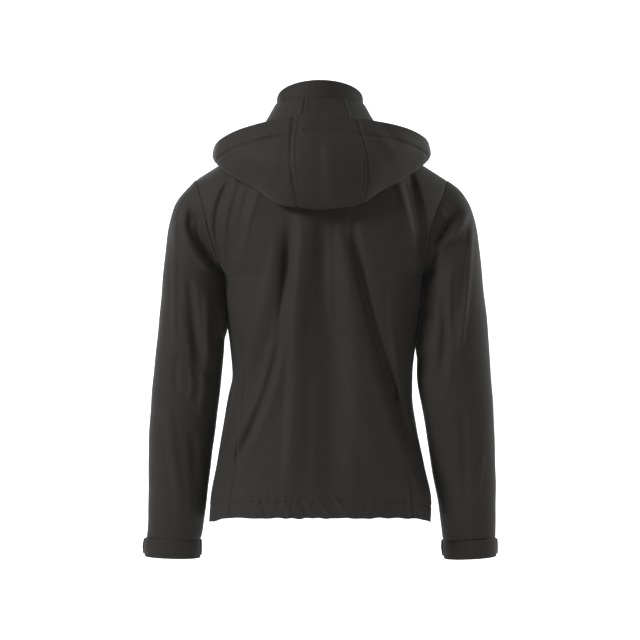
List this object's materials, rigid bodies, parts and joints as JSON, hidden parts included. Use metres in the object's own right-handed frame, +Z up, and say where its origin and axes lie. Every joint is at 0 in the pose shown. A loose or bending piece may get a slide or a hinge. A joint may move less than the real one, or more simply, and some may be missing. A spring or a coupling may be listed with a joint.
{
  "type": "softshell jacket",
  "caption": "Long-sleeved hip-length softshell jacket with a stand collar, a hanging hood, narrow cuffs and a full-length front zip, hollow as when worn.",
  "frame": {"origin": "centre of the neck base at shoulder height, where the wearer's neck carries the jacket", "axes": "+Z up, +X to the wearer's left, -Y the front"},
  "size_m": [0.6518, 0.2982, 0.866],
  "materials": {
    "softshell": "matte woven softshell, dark charcoal",
    "zip_tape": "matte woven tape, near black",
    "zip_metal": "satin, dark"
  },
  "bodies": {
    "jacket": {"back_panel": "softshell", "side_panel_left": "softshell", "front_left": "softshell", "sleeve_left": "softshell", "cuff_left": "softshell", "cuff_tab_left": "softshell", "side_panel_right": "softshell", "front_right": "softshell", "sleeve_right": "softshell", "cuff_right": "softshell", "cuff_tab_right": "softshell", "collar": "softshell", "hood_center": "softshell", "hood_left": "softshell", "hood_right": "softshell", "zip_tape_left": "zip_tape", "zip_tape_right": "zip_tape", "zip_box": "zip_metal", "zip_slider": "zip_metal"},
    "pull_tab": {"zip_pull": "zip_metal"}
  },
  "joints": [
    {"name": "pull_swing", "type": "hinge", "parent": "jacket", "child": "pull_tab", "pos_m": [0, -0.06122, 0.004], "axis": [-1, 0, 0], "range_deg": [0, 150]}
  ]
}
